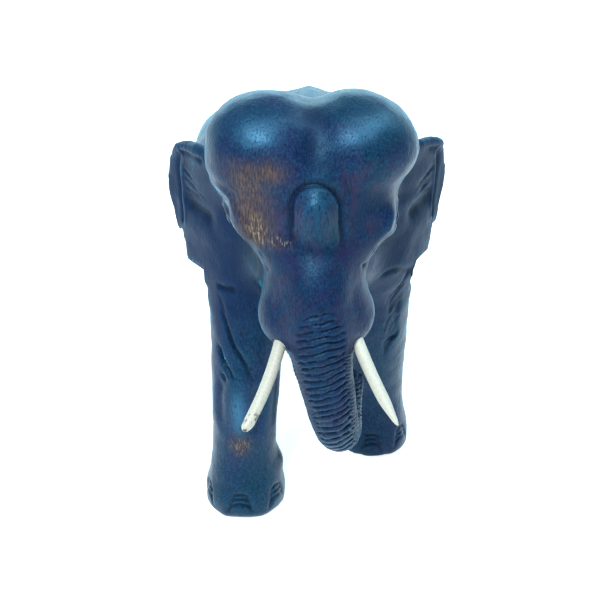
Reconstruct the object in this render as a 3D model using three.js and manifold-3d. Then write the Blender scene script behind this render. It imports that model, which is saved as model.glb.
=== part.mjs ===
// A walking elephant figurine, carved from one block of wood. Its two tusks are separate pegs that push into
// drilled sockets in the cheeks.
// Millimetres, +Z up. The elephant walks towards -Y, and its own left side is +X.
import * as THREE from "three";
import { LoftGeometry } from "three/addons/geometries/LoftGeometry.js";
import { mergeVertices } from "three/addons/utils/BufferGeometryUtils.js";
import Module from "manifold-3d";

const wasm = await Module();
wasm.setup();

// ---- Driving dimensions ----

// Body: y runs from the neck back to the rump.
const backHeight = 252; // floor to the back, beside the spine
const spineRidge = 6; // how far the spine stands above the back
const barrelHeight = 190; // floor to where the barrel is widest
const bellyHeight = 108; // floor to the lowest point of the belly
const bodyHalfWidth = 84;
const bodySway = 5; // how far the rump stands to the right of the neck
const neckY = -12; // where the body starts, inside the head
const bodyLength = 280; // from neckY to the rump

// Legs. Each foot stands ahead of or behind its hip, as in a walk.
const frontHipY = 44;
const hindHipY = 206;
const hipX = 39;
const footX = 46.5; // mid-plane to the centre of a foot
const frontStrideAhead = 46; // the right front foot, ahead of its hip
const frontStrideBack = 21; // the left front foot, behind its hip
const hindStrideAhead = 20; // the left hind foot
const hindStrideBack = 30; // the right hind foot
const footRadius = 29.8;
const ankleRadius = 22.3;

// Head. It is turned a little to the elephant's left.
const headHeight = 295.5; // floor to the top of the twin domes
const headHalfWidth = 60.5; // at the domes
const headTurn = THREE.MathUtils.degToRad(3);
const neckPivot = new THREE.Vector3(0, -10, 0); // on the upright line about which the head turns
const faceY = -46; // the forehead's front
const eyeDrop = 69.5; // from the top of the domes down to the eyes
const waistDrop = 98.5; // down to where the face is narrowest, between the eyes and the cheeks
const waistHalfWidth = 29.5;
const cheekDrop = 119.5; // down to the middle of the cheeks
const cheekX = 19; // mid-plane to the middle of a cheek
const cheekRadius = 15.5; // across

// Nose (the trunk)
const noseRootRadius = 21;
const noseTipRadius = 8.5;
const noseBottomZ = 96; // centre of the nose where it hangs lowest
const noseSwing = 22; // how far its tip lies to the elephant's left

// Ears
const earThickness = 7;
const earSpread = 88; // mid-plane to the outermost edge
const earTopDrop = 39.5; // from the top of the domes down to the ears' upper edge
const earSpan = 106; // an ear's height, from its upper edge to its hanging tip
const earBackY = 58; // how far back the outer edge sweeps
const earRootX = 44; // where the flap leaves the head
const earRootY = 4;
const earRollRadius = 4.6; // the rolled rim along its top and outer edge

// Tusks
const tuskRadius = 3.8;
const tuskReach = 58; // exposed length, measured straight
const tuskBend = 7; // how far the bend carries the tip aside
const tuskMouthX = 22; // mid-plane to the middle of the socket's mouth
const tuskSplay = 0.26; // how far the socket's line turns out, down and forward, as parts of one direction
const tuskDrop = 0.49;
const tuskForward = 0.83;
const tenonLength = 14; // the end hidden in the socket
const socketClearance = 0.3;
const socketSpareDepth = 1.5; // left empty behind the tenon

// Tail
const tailRootRadius = 7;
const tailEndRadius = 4;
const tuftRadius = 7.5;

// Heights that follow from the head's.
const eyeHeight = headHeight - eyeDrop;
const waistHeight = headHeight - waistDrop;
const cheekHeight = headHeight - cheekDrop;
const earTop = headHeight - earTopDrop;

// ---- Solids ----

const X_AXIS = new THREE.Vector3(1, 0, 0);

// A closed three.js geometry as a manifold-3d solid.
function solid(geometry) {
  geometry.deleteAttribute("normal");
  geometry.deleteAttribute("uv");
  const merged = mergeVertices(geometry, 1e-4);
  const vertProperties = new Float32Array(merged.attributes.position.array);
  const triVerts = new Uint32Array(merged.index.array);
  return new wasm.Manifold(new wasm.Mesh({ numProp: 3, vertProperties, triVerts }));
}

// A manifold-3d solid as a three.js geometry.
function geometryOf(made) {
  const mesh = made.getMesh();
  const geometry = new THREE.BufferGeometry();
  geometry.setAttribute("position", new THREE.BufferAttribute(mesh.vertProperties, 3));
  geometry.setIndex(new THREE.BufferAttribute(mesh.triVerts, 1));
  geometry.computeVertexNormals();
  return geometry;
}

const union = (solids) => solids.reduce((whole, next) => whole.add(next));

// A closed skin over rings of points. The rings are put in the order that makes its faces point out.
function skin(rings) {
  const first = rings[0];
  const across = new THREE.Vector3();
  first.forEach((p, i) => across.add(new THREE.Vector3().crossVectors(p, first[(i + 1) % first.length])));
  const middle = (ring) => ring.reduce((sum, p) => sum.add(p), new THREE.Vector3()).divideScalar(ring.length);
  const along = middle(rings[1]).sub(middle(first));
  if (across.dot(along) < 0) rings.forEach((ring) => ring.reverse());
  return new THREE.BufferGeometry().copy(new LoftGeometry(rings, { capStart: true, capEnd: true }));
}

// A loft through a table. Each row starts with its place along the loft, and the other columns are
// joined by a smooth curve. section(place, values) gives the points round the loft at one place.
function loft(rows, steps, section) {
  const places = rows.map((row) => row[0]);
  const columns = rows[0].length - 1;
  const curve = new THREE.CubicInterpolant(places, rows.flatMap((row) => row.slice(1)), columns);
  const first = places[0];
  const last = places[places.length - 1];
  const sections = [];
  for (let i = 0; i <= steps; i++) {
    const place = first + ((last - first) * i) / steps;
    sections.push(section(place, [...curve.evaluate(place)]));
  }
  return solid(skin(sections));
}

// Points round an oval. squareness 2 is an ellipse, and a higher value fills out its corners.
function oval(sides, squareness, place) {
  const points = [];
  for (let i = 0; i < sides; i++) {
    const angle = (i / sides) * 2 * Math.PI;
    const round = (value) => Math.sign(value) * Math.abs(value) ** (2 / squareness);
    points.push(place(round(Math.cos(angle)), round(Math.sin(angle))));
  }
  return points;
}

// A tube whose rows are [place, x, y, z, half width, half depth], square to its own path.
function tube(rows, steps, sides) {
  const places = rows.map((row) => row[0]);
  const path = new THREE.CubicInterpolant(places, rows.flatMap((row) => row.slice(1, 4)), 3);
  const centre = (place) => new THREE.Vector3(...path.evaluate(place));
  const first = places[0];
  const last = places[places.length - 1];
  const small = (last - first) * 1e-3;
  return loft(rows, steps, (place, [x, y, z, halfWidth, halfDepth]) => {
    const before = centre(Math.max(first, place - small));
    const along = centre(Math.min(last, place + small)).sub(before).normalize();
    const side = X_AXIS.clone().addScaledVector(along, -along.x).normalize();
    const depth = new THREE.Vector3().crossVectors(along, side);
    return oval(sides, 2, (a, b) =>
      new THREE.Vector3(x, y, z).addScaledVector(side, a * halfWidth).addScaledVector(depth, b * halfDepth),
    );
  });
}

function ellipsoid(centre, radii, pitch = 0) {
  const ball = new THREE.SphereGeometry(1, 18, 12).scale(...radii);
  return solid(ball.rotateX(pitch).translate(...centre));
}

// ---- The carved block ----

function body() {
  const above = backHeight - barrelHeight;
  const below = barrelHeight - bellyHeight;
  // [share of the length, of the half width, of the height above the barrel's middle, of the depth below it]
  const shares = [
    [0.0, 0.45, 0.45, 0.2],
    [0.08, 0.62, 0.74, 0.5],
    [0.18, 0.82, 0.94, 0.8],
    [0.3, 0.94, 1.0, 0.93],
    [0.4, 0.99, 1.0, 0.98],
    [0.5, 1.0, 0.95, 1.0],
    [0.62, 1.0, 0.8, 0.98],
    [0.75, 0.95, 0.6, 0.9],
    [0.86, 0.82, 0.42, 0.7],
    [0.94, 0.6, 0.24, 0.46],
    [1.0, 0.26, 0.04, 0.16],
  ];
  const rows = shares.map(([s, w, top, bottom]) => [
    neckY + s * bodyLength,
    w * bodyHalfWidth,
    top * above,
    bottom * below,
  ]);
  return loft(rows, 20, (y, [halfWidth, top, bottom]) =>
    oval(32, 2.6, (a, b) => {
      const sway = (bodySway * (y - neckY)) / bodyLength;
      const ridge = b > 0.999 ? spineRidge * Math.min(1, top / above) : 0;
      const z = barrelHeight + b * (b > 0 ? top : bottom) + ridge;
      return new THREE.Vector3(a * halfWidth - sway, y, z);
    }),
  );
}

// A leg from its hip, inside the body, down to a flared foot with a flat sole.
// lean is how far the foot stands behind the hip, and knee pushes the joint forward.
function leg(side, hipY, lean, hip, knee) {
  // [share of the hip's height, share of the lean, half width, half depth, share of the knee's push]
  const shares = [
    [0.0, 1, footRadius - 1.2, footRadius - 0.7, 0],
    [0.035, 1, footRadius, footRadius + 1, 0],
    [0.1, 1, ankleRadius + 3.5, ankleRadius + 4.5, 0],
    [0.21, 0.98, ankleRadius, ankleRadius + 0.7, 0],
    [0.31, 0.9, ankleRadius, ankleRadius + 1.5, 0.35],
    [0.45, 0.74, ankleRadius + 1.2, ankleRadius + 3.5, 1],
    [0.64, 0.5, hip.halfWidth * 0.86, hip.halfDepth * 0.76, 0.8],
    [0.82, 0.22, hip.halfWidth, hip.halfDepth * 0.93, 0.3],
    [0.93, 0.05, hip.halfWidth * 0.9, hip.halfDepth * 0.86, 0],
    [1.0, 0, hip.halfWidth * 0.66, hip.halfDepth * 0.6, 0],
  ];
  const rows = shares.map(([s, way, halfWidth, halfDepth, push]) => [
    s * hip.height,
    side * (hipX + way * (footX - hipX)),
    hipY + way * lean - push * knee,
    halfWidth,
    halfDepth,
  ]);
  return loft(rows, 15, (z, [x, y, halfWidth, halfDepth]) =>
    oval(18, 2.2, (a, b) => new THREE.Vector3(x + a * halfWidth, y + b * halfDepth, z)),
  );
}

function legs() {
  const shoulder = { height: barrelHeight + 14, halfWidth: 29, halfDepth: 38 };
  const haunch = { height: barrelHeight, halfWidth: 33, halfDepth: 46 };
  return [
    leg(-1, frontHipY, -frontStrideAhead, shoulder, 2),
    leg(1, frontHipY, frontStrideBack, shoulder, 2),
    leg(1, hindHipY, -hindStrideAhead, haunch, 7),
    leg(-1, hindHipY, hindStrideBack, haunch, 7),
  ];
}

// Level slices through the face, from the mouth up to just under the domes.
function skull() {
  // [height, half width, front, back], front and back measured from the forehead's front
  const rows = [
    [cheekHeight - 26, 14, -2, 36],
    [cheekHeight - 14, 24, -12, 50],
    [cheekHeight, waistHalfWidth + 2, -16, 62],
    [waistHeight - 8, waistHalfWidth, -15, 70],
    [waistHeight, waistHalfWidth, -13, 74],
    [waistHeight + 11, waistHalfWidth + 8, -10, 78],
    [eyeHeight - 6, headHalfWidth - 15.5, -6, 80],
    [eyeHeight + 4, headHalfWidth - 11, -3, 80],
    [eyeHeight + 16, headHalfWidth - 8, -1, 80],
    [headHeight - 41, headHalfWidth - 3, 0, 78],
    [headHeight - 27, headHalfWidth - 4, 4, 72],
    [headHeight - 14, headHalfWidth - 14, 13, 60],
  ];
  return loft(rows, 15, (z, [halfWidth, front, back]) =>
    oval(26, 2.5, (a, b) => {
      const y = faceY + (front + back) / 2 + (b * (back - front)) / 2;
      return new THREE.Vector3(a * halfWidth, y, z);
    }),
  );
}

function faceForms() {
  const domeRadii = [38, 38, 32];
  const dome = (side) =>
    ellipsoid([side * (headHalfWidth - domeRadii[0]), faceY + 37, headHeight - domeRadii[2]], domeRadii);
  const cheek = (side) => ellipsoid([side * cheekX, faceY + 2, cheekHeight], [cheekRadius, 22, 20], 0.2);
  const eyelid = (side) =>
    ellipsoid([side * (headHalfWidth - 19), faceY + 20, eyeHeight + 2], [7, 16, 13], 0.3);
  const noseBump = ellipsoid([0, faceY - 1, eyeHeight + 10], [13.5, 10, 25], -0.1);
  const lip = ellipsoid([0, faceY + 8, cheekHeight - 24], [12, 21, 10], 0.45);
  return [dome(-1), dome(1), cheek(-1), cheek(1), eyelid(-1), eyelid(1), noseBump, lip];
}

function nose() {
  const top = waistHeight + 3;
  const drop = top - noseBottomZ;
  const r = (share) => noseRootRadius + share * (noseTipRadius - noseRootRadius);
  // [place, share of the swing, distance behind the forehead's front, height, half width, half depth]
  const shares = [
    [0, -0.02, 22, top + 24, r(0.2), r(0.3)],
    [1, -0.02, -3, top, r(-0.05), r(0)],
    [2, 0, -13, top - 0.22 * drop, r(0.06), r(0.12)],
    [3, 0.06, -18, top - 0.4 * drop, r(0.2), r(0.25)],
    [4, 0.2, -21, top - 0.58 * drop, r(0.34), r(0.36)],
    [5, 0.38, -22, top - 0.77 * drop, r(0.46), r(0.46)],
    [6, 0.52, -18, top - 0.92 * drop, r(0.56), r(0.56)],
    [7, 0.68, -9, noseBottomZ, r(0.66), r(0.66)],
    [8, 0.84, 2, top - 0.95 * drop, r(0.78), r(0.78)],
    [9, 0.95, 8, top - 0.82 * drop, r(0.9), r(0.9)],
    [10, 1, 8, top - 0.69 * drop, r(1), r(1)],
  ];
  const rows = shares.map(([t, swing, y, z, a, b]) => [t, swing * noseSwing, faceY + y, z, a, b]);
  return tube(rows, 30, 14);
}

// The middle of an ear's flap, a share of the way out from the head, at one height. side 1 is the left ear.
function earPoint(side, out, z) {
  const x = earRootX + out * (earSpread - earRootX);
  const y = earRootY + (earBackY - earRootY) * out ** 1.6;
  return new THREE.Vector3(side * x, y, z);
}

// A thin flap that sweeps out and back. Its lower edge is stepped and ends in a hanging tip.
function earFlap(side) {
  // [share of the height below the top, share of the way out to the rim]
  const slices = [
    [0.0, 0.3],
    [0.03, 0.62],
    [0.1, 0.82],
    [0.2, 0.92],
    [0.35, 0.94],
    [0.5, 0.94],
    [0.6, 0.9],
    [0.63, 0.84],
    [0.75, 0.81],
    [0.85, 0.77],
    [0.88, 0.7],
    [0.9, 0.46],
    [0.95, 0.38],
    [1.0, 0.22],
  ];
  const across = 6;
  const rings = slices.map(([s, reach]) => {
    const z = earTop - s * earSpan;
    const points = [];
    for (const face of [-1, 1]) {
      for (let i = 0; i <= across; i++) {
        const out = (reach * (face < 0 ? i : across - i)) / across;
        const half = (earThickness / 2) * (1.25 - 0.5 * out);
        const proud = new THREE.Vector3(-side * 0.55, 0.84, 0).multiplyScalar(face * half);
        points.push(earPoint(side, out, z).add(proud));
      }
    }
    return points;
  });
  return solid(skin(rings));
}

// The rim rolls forward along the top and down the outer edge, and ends in a step.
function earRoll(side) {
  // [share of the way out, share of the height below the top, share of the roll's radius]
  const path = [
    [0.1, 0.05, 0.9],
    [0.35, 0.03, 1],
    [0.62, 0.05, 1],
    [0.84, 0.13, 1],
    [0.94, 0.28, 0.95],
    [0.97, 0.44, 0.9],
    [0.95, 0.58, 0.8],
    [0.92, 0.63, 0.55],
  ];
  const rows = path.map(([out, s, share], i) => {
    const at = earPoint(side, out, earTop - s * earSpan);
    return [i, at.x, at.y - earThickness * 0.3, at.z, share * earRollRadius, share * earRollRadius];
  });
  return tube(rows, 16, 10);
}

function tail() {
  const rumpY = neckY + bodyLength;
  const rootZ = barrelHeight;
  const rows = [
    [0, 0, rumpY - 34, rootZ - 2, tailRootRadius, tailRootRadius],
    [1, -1, rumpY - 8, rootZ, tailRootRadius, tailRootRadius],
    [2, -4, rumpY + 3, rootZ - 32, tailRootRadius * 0.85, tailRootRadius * 0.85],
    [3, -10, rumpY - 1, rootZ - 66, tailEndRadius * 1.1, tailEndRadius * 1.1],
    [4, -18, rumpY - 7, rootZ - 98, tailEndRadius, tailEndRadius],
    [5, -24, rumpY - 12, rootZ - 118, tuftRadius, tuftRadius],
    [6, -28, rumpY - 15, rootZ - 138, tuftRadius * 0.85, tuftRadius * 0.85],
    [7, -30, rumpY - 16, rootZ - 152, tuftRadius * 0.2, tuftRadius * 0.2],
  ];
  return tube(rows, 18, 10);
}

// ---- Tusks ----

// Where a tusk leaves its cheek, the straight line of its socket, and which way it bends. The bends differ:
// each tusk was pushed home with its own turn.
function tuskPlace(side) {
  const mouth = new THREE.Vector3(side * tuskMouthX, faceY - 15, cheekHeight - 11);
  const line = new THREE.Vector3(side * tuskSplay, -tuskForward, -tuskDrop).normalize();
  const bend = side < 0 ? new THREE.Vector3(-1, 0, 0.4) : new THREE.Vector3(0.2, 0, 1);
  return { mouth, line, bend };
}

// A tusk lies along +Z with its tenon below z = 0, and bends towards +X.
function tuskGeometry() {
  const steps = 16;
  const ring = (z, radius, shift) =>
    oval(16, 2, (a, b) => new THREE.Vector3(shift + a * radius, b * radius, z));
  const rings = [ring(-tenonLength, tuskRadius - 0.6, 0), ring(-tenonLength + 0.8, tuskRadius, 0)];
  for (let i = 0; i <= steps; i++) {
    const s = 1 - (1 - i / steps) ** 1.5;
    const round = Math.sqrt(1 - s ** 7) * (1 - 0.16 * s);
    rings.push(ring(s * tuskReach, Math.max(tuskRadius * round, 0.3), tuskBend * s * s));
  }
  return skin(rings);
}

// Turns and moves a geometry made along +Z so that it lies in a tusk's place.
function setInPlace(geometry, { mouth, line, bend }) {
  const up = new THREE.Vector3().crossVectors(line, bend).normalize();
  const across = new THREE.Vector3().crossVectors(up, line);
  return geometry.applyMatrix4(new THREE.Matrix4().makeBasis(across, up, line).setPosition(mouth));
}

function socket(side) {
  const depth = tenonLength + socketSpareDepth;
  const open = 25; // runs out past the cheek's skin
  const bore = tuskRadius + socketClearance;
  const drill = new THREE.CylinderGeometry(bore, bore, depth + open, 24);
  return solid(setInPlace(drill.rotateX(Math.PI / 2).translate(0, 0, (open - depth) / 2), tuskPlace(side)));
}

// ---- Assembly ----

function turnHead(made) {
  const m = new THREE.Matrix4()
    .makeTranslation(neckPivot)
    .multiply(new THREE.Matrix4().makeRotationZ(headTurn))
    .multiply(new THREE.Matrix4().makeTranslation(neckPivot.clone().negate()));
  return solid(geometryOf(made).applyMatrix4(m));
}

const ears = [earFlap(-1), earRoll(-1), earFlap(1), earRoll(1)];
const head = union([skull(), ...faceForms(), nose(), ...ears]).subtract(socket(-1)).subtract(socket(1));
const block = union([body(), ...legs(), tail()]).add(turnHead(head));

const wood = new THREE.MeshStandardMaterial({ color: 0x24405c, roughness: 0.45, metalness: 0 });
const white = new THREE.MeshStandardMaterial({ color: 0xf1f1ea, roughness: 0.4, metalness: 0 });

const group = new THREE.Group();
const place = (name, geometry, material) => {
  const mesh = new THREE.Mesh(geometry, material);
  mesh.name = name;
  group.add(mesh);
};
place("carved_body", geometryOf(block), wood);
for (const [name, side] of [["tusk_right", -1], ["tusk_left", 1]]) {
  const made = turnHead(solid(setInPlace(tuskGeometry(), tuskPlace(side))));
  place(name, geometryOf(made), white);
}

const box = new THREE.Box3().setFromObject(group);
const middle = box.getCenter(new THREE.Vector3());
group.position.set(-middle.x, -middle.y, -box.min.z);

export default group;
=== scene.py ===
import math

import bmesh
import bpy
import numpy as np
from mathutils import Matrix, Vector, noise


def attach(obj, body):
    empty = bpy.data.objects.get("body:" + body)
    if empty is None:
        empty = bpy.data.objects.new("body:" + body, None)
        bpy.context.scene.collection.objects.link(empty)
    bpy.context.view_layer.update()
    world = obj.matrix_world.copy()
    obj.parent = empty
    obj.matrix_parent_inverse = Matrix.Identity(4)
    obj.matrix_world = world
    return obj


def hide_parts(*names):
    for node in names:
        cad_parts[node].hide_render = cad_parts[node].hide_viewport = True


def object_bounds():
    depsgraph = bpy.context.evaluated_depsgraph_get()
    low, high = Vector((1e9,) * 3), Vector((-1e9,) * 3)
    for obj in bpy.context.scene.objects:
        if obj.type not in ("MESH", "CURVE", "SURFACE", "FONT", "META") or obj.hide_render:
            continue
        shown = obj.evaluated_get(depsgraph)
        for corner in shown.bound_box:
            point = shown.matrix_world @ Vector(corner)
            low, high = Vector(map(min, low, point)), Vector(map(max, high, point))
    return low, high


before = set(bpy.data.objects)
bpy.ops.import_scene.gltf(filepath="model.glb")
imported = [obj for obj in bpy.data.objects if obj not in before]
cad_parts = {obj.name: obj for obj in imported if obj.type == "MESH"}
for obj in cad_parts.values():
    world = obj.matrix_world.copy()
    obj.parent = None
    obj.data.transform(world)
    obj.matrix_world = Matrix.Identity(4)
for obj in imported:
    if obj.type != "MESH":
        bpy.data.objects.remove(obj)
cad_box = [list(corner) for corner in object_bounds()]

MM = 0.001
# The carver's guide lines: x from the middle of the body, y back from the right front foot, z up from the
# floor. They cross here, in millimetres of the part's own frame.
GUIDES = np.array([3.307, -82.658, 0.0])
HEAD_TURN = math.radians(3)  # the head looks a little to the elephant's left
HEAD_PIVOT = np.array([0.0, -10.0, 0.0])

# Lengths in millimetres.
ROUGH_CELL = 2.7  # between the points of the rough block, before the fine places are refined
BORE_RADIUS = 4.1
BORE_DEPTH = 15.5
PEG_RADIUS = 3.75
FAR = 1e6  # farther than any point of the elephant

MERGE_METRES = 1e-6  # points of the CAD's loose triangles nearer than this are one
MOST_TRIANGLES = 190000  # in the finished block, which keeps it below what one piece may have

# ---- Arrays and small tools ----


def smooth_step(low, high, value):
    """0 below low, 1 above high, eased in between."""
    t = np.clip((value - low) / (high - low), 0, 1)
    return t * t * (3 - 2 * t)


def hump(distance, width):
    """1 at no distance, falling off softly on both sides over about this width."""
    return np.exp(-((distance / width) ** 2))


def turn_head(points, back=False):
    """Points of the straight head, turned to where the head looks. back takes them the other way."""
    angle = -HEAD_TURN if back else HEAD_TURN
    c, s = math.cos(angle), math.sin(angle)
    return (points - HEAD_PIVOT) @ np.array([[c, s, 0], [-s, c, 0], [0, 0, 1]]) + HEAD_PIVOT


def curve_through(points, count):
    """A smooth curve through the points, as count points an even share apart."""
    p = np.asarray(points, float)
    p = np.vstack([2 * p[0] - p[1], p, 2 * p[-1] - p[-2]])
    made = []
    for t in np.linspace(0, len(points) - 1 - 1e-9, count):
        i, u = int(t), t - int(t)
        a, b, c, d = p[i : i + 4]
        made.append(
            b + 0.5 * u * (c - a + u * (2 * a - 5 * b + 4 * c - d + u * (3 * (b - c) + d - a)))
        )
    return np.array(made)


def linear(hex_colour):
    """An sRGB hex colour as the linear values that a socket holds."""
    channels = [int(hex_colour[i : i + 2], 16) / 255 for i in (1, 3, 5)]
    return [c / 12.92 if c <= 0.04045 else ((c + 0.055) / 1.055) ** 2.4 for c in channels] + [1.0]


def node(tree, kind, settings=(), out=0, **inputs):
    """Adds a node and gives its output out. settings are its own values. Each input is named as its socket is,
    with _ for a space, or by _ and its number. It is a value, a hex colour or another node's output."""
    made = tree.nodes.new(kind)
    for key, value in dict(settings).items():
        setattr(made, key, value)
    for key, value in inputs.items():
        socket = made.inputs[int(key[1:])] if key[0] == "_" else made.inputs[key.replace("_", " ")]
        if isinstance(value, bpy.types.NodeSocket):
            tree.links.new(value, socket)
        elif str(value).startswith("#"):
            socket.default_value = linear(value)
        else:
            socket.default_value = value
    return made.outputs[out] if made.outputs else made


# Kinds and settings that many nodes share.
MATH, NOISE, RANGE = "ShaderNodeMath", "ShaderNodeTexNoise", "ShaderNodeMapRange"
TIMES, PLUS, MINUS = {"operation": "MULTIPLY"}, {"operation": "ADD"}, {"operation": "SUBTRACT"}
TIMES_PLUS, POWER = {"operation": "MULTIPLY_ADD"}, {"operation": "POWER"}
EASED = {"interpolation_type": "SMOOTHSTEP"}


def new_material(name):
    material = bpy.data.materials.new(name)
    material.use_nodes = True
    material.node_tree.nodes.clear()
    return material


class Skin:
    """A surface being worked: its points in millimetres from the guide lines, and the edges between them."""

    def __init__(self, mesh):
        self.mesh = mesh
        self.read()

    def read(self):
        flat = np.empty(len(self.mesh.vertices) * 3)
        self.mesh.vertices.foreach_get("co", flat)
        self.points = flat.reshape(-1, 3) / MM - GUIDES
        ends = np.empty(len(self.mesh.edges) * 2, int)
        self.mesh.edges.foreach_get("vertices", ends)
        self.a, self.b = ends.reshape(-1, 2).T
        count = len(self.points)
        self.degree = np.bincount(self.a, minlength=count) + np.bincount(self.b, minlength=count)

    def write(self):
        self.mesh.vertices.foreach_set("co", ((self.points + GUIDES) * MM).ravel())
        self.mesh.update()

    def normals(self):
        self.write()
        flat = np.empty(len(self.points) * 3)
        self.mesh.vertex_normals.foreach_get("vector", flat)
        return flat.reshape(-1, 3)

    def mean_of_neighbours(self, values):
        count = len(self.points)
        total = [
            np.bincount(self.a, column[self.b], count) + np.bincount(self.b, column[self.a], count)
            for column in values.T
        ]
        return np.stack(total, 1) / self.degree[:, None]

    def sand(self, rounds, share=0.5, crests=1.0):
        """Evens the surface out. crests below 1 fills the hollows and spares what stands proud."""
        share = np.broadcast_to(share, len(self.points))
        for _ in range(rounds):
            pull = self.mean_of_neighbours(self.points) - self.points
            if crests < 1:
                proud = np.einsum("ij,ij->i", pull, self.normals()) < 0
                pull[proud] *= crests
            self.points = self.points + pull * share[:, None]

    def push(self, height):
        """Moves each point out along its normal, in millimetres."""
        self.points = self.points + self.normals() * np.asarray(height)[:, None]

    def refine(self, chosen):
        """Splits every face whose points are all chosen into four."""
        self.write()
        bm = bmesh.new()
        bm.from_mesh(self.mesh)
        bm.verts.ensure_lookup_table()
        faces = [face for face in bm.faces if all(chosen[v.index] for v in face.verts)]
        edges = {edge for face in faces for edge in face.edges}
        bmesh.ops.subdivide_edges(bm, edges=list(edges), cuts=1, use_grid_fill=True)
        bm.to_mesh(self.mesh)
        bm.free()
        self.read()

    def gouge(self, line, width, depth, fade=0.25):
        """A groove along a line of points. Its ends rise to the surface over a share fade of its length."""
        line = curve_through(line, 24)
        distance, along = self.from_line(line, 4 * width)
        ends = smooth_step(0, fade, along) * smooth_step(0, fade, 1 - along)
        self.push(-depth * hump(distance, width) * ends)

    def from_line(self, line, reach):
        """Each point's distance to a line, and how far along it the nearest place is, from 0 to 1."""
        distance = np.full(len(self.points), FAR)
        along = np.zeros(len(self.points))
        low, high = line.min(0) - reach, line.max(0) + reach
        near = np.nonzero(((self.points > low) & (self.points < high)).all(1))[0]
        p = self.points[near]
        best = np.full(len(near), FAR)
        best_along = np.zeros(len(near))
        lengths = np.linalg.norm(np.diff(line, axis=0), axis=1)
        starts = np.concatenate([[0], np.cumsum(lengths)])
        for i, length in enumerate(lengths):
            d = (line[i + 1] - line[i]) / length
            t = np.clip((p - line[i]) @ d, 0, length)
            away = np.linalg.norm(p - line[i] - t[:, None] * d, axis=1)
            closer = away < best
            best[closer] = away[closer]
            best_along[closer] = (starts[i] + t[closer]) / starts[-1]
        distance[near] = best
        along[near] = best_along
        return distance, along


def add_object(name, data):
    """Adds an object that shows this mesh, lamp or camera."""
    obj = bpy.data.objects.new(name, data)
    bpy.context.scene.collection.objects.link(obj)
    return obj


def finished_mesh(obj):
    """The object's mesh with its modifiers worked in. The modifiers are then taken off."""
    bpy.context.view_layer.update()
    made = bpy.data.meshes.new_from_object(obj.evaluated_get(bpy.context.evaluated_depsgraph_get()))
    obj.modifiers.clear()
    obj.data = made
    return made


# ---- The rough block ----

# Where each tusk's socket opens in the cheek, and the straight line of its bore, out of the cheek.
SOCKETS = {
    "tusk_right": (np.array([-22.0, -61.0, 165.0]), np.array([-0.26, -0.83, -0.49])),
    "tusk_left": (np.array([22.0, -61.0, 165.0]), np.array([0.26, -0.83, -0.49])),
}


def bore_mesh(bm, mouth, line, radius, start, end, sides):
    """A closed round rod along a socket's line, from start to end in mm out from its mouth."""
    line = line / np.linalg.norm(line)
    side = np.cross(line, [0, 0, 1])
    side /= np.linalg.norm(side)
    up = np.cross(side, line)
    rings = []
    for at in (start, end):
        ring = []
        for i in range(sides):
            turn = 2 * math.pi * i / sides
            place = mouth + line * at + radius * (side * math.cos(turn) + up * math.sin(turn))
            ring.append(bm.verts.new((turn_head(place) + GUIDES) * MM))
        rings.append(ring)
    for i in range(sides):
        j = (i + 1) % sides
        bm.faces.new((rings[0][i], rings[0][j], rings[1][j], rings[1][i]))
    bm.faces.new(rings[0][::-1])
    bm.faces.new(rings[1])


def rough_block():
    """The CAD block as one even skin, its sockets stopped up until the carving is done."""
    bm = bmesh.new()
    bm.from_mesh(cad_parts["carved_body"].data)
    bmesh.ops.remove_doubles(bm, verts=bm.verts, dist=MERGE_METRES)
    for mouth, line in SOCKETS.values():
        bore_mesh(bm, mouth, line, BORE_RADIUS + 1.2, -BORE_DEPTH - 2, -0.5, 24)
    bmesh.ops.recalc_face_normals(bm, faces=bm.faces)
    mesh = bpy.data.meshes.new("carved_elephant")
    bm.to_mesh(mesh)
    bm.free()
    block = add_object("carved_elephant", mesh)
    even = block.modifiers.new("even_skin", "REMESH")
    even.mode = "VOXEL"
    even.voxel_size = ROUGH_CELL * MM
    finished_mesh(block)
    return block


def head_points(skin):
    """The skin's points as they would lie on the straight head."""
    return turn_head(skin.points, back=True)


elephant = rough_block()
skin = Skin(elephant.data)
x, y, z = skin.points.T
# the thin ears are sanded less than the rest
ear_zone = smooth_step(60, 70, abs(x)) * smooth_step(70, 62, y) * smooth_step(146, 152, z)
skin.sand(45, 0.5 * (1 - 0.85 * ear_zone), crests=0.12)
skin.sand(3, 0.4 * (1 - 0.6 * ear_zone))

# Where the face is fuller or leaner than the rough block: height up the head, then how far the right side and
# the left side move out, all in millimetres.
FACE_WIDTHS = [
    (296, 3.0, -1.0),
    (288, 4.6, -1.8),
    (280, 3.4, -1.2),
    (270, 2.6, 0.0),
    (262, 2.4, 0.4),
    (255, 4.2, -0.8),
    (249, 4.8, -2.6),
    (240, 4.3, -2.9),
    (233, 3.7, -1.5),
    (226, 1.0, -1.5),
    (219, -1.4, 0.8),
    (208, 0.0, -1.0),
    (198, -1.0, -2.5),
    (188, 0.0, -1.8),
    (176, 1.0, 0.0),
    (166, 0.8, -1.2),
    (156, 0.0, 0.0),
]


def widen_face():
    """Brings the face to its widths, and leaves its middle and the back of the head as they are."""
    head = head_points(skin)
    hx, hy, hz = head.T
    heights, right, left = np.array(FACE_WIDTHS[::-1], float).T
    on_face = smooth_step(34, 6, hy) * smooth_step(150, 160, hz)
    reach = smooth_step(10, 40, abs(hx)) * on_face
    outwards = np.where(hx < 0, -np.interp(hz, heights, right), np.interp(hz, heights, left))
    head[:, 0] += reach * outwards
    skin.points = turn_head(head)


x, y, z = skin.points.T
# the rump is rounded on both sides of the spine
skin.sand(60, 0.5 * smooth_step(190, 225, y) * smooth_step(150, 175, z) * smooth_step(8, 16, abs(x)))
widen_face()
hx, hy, hz = head_points(skin).T
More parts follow.
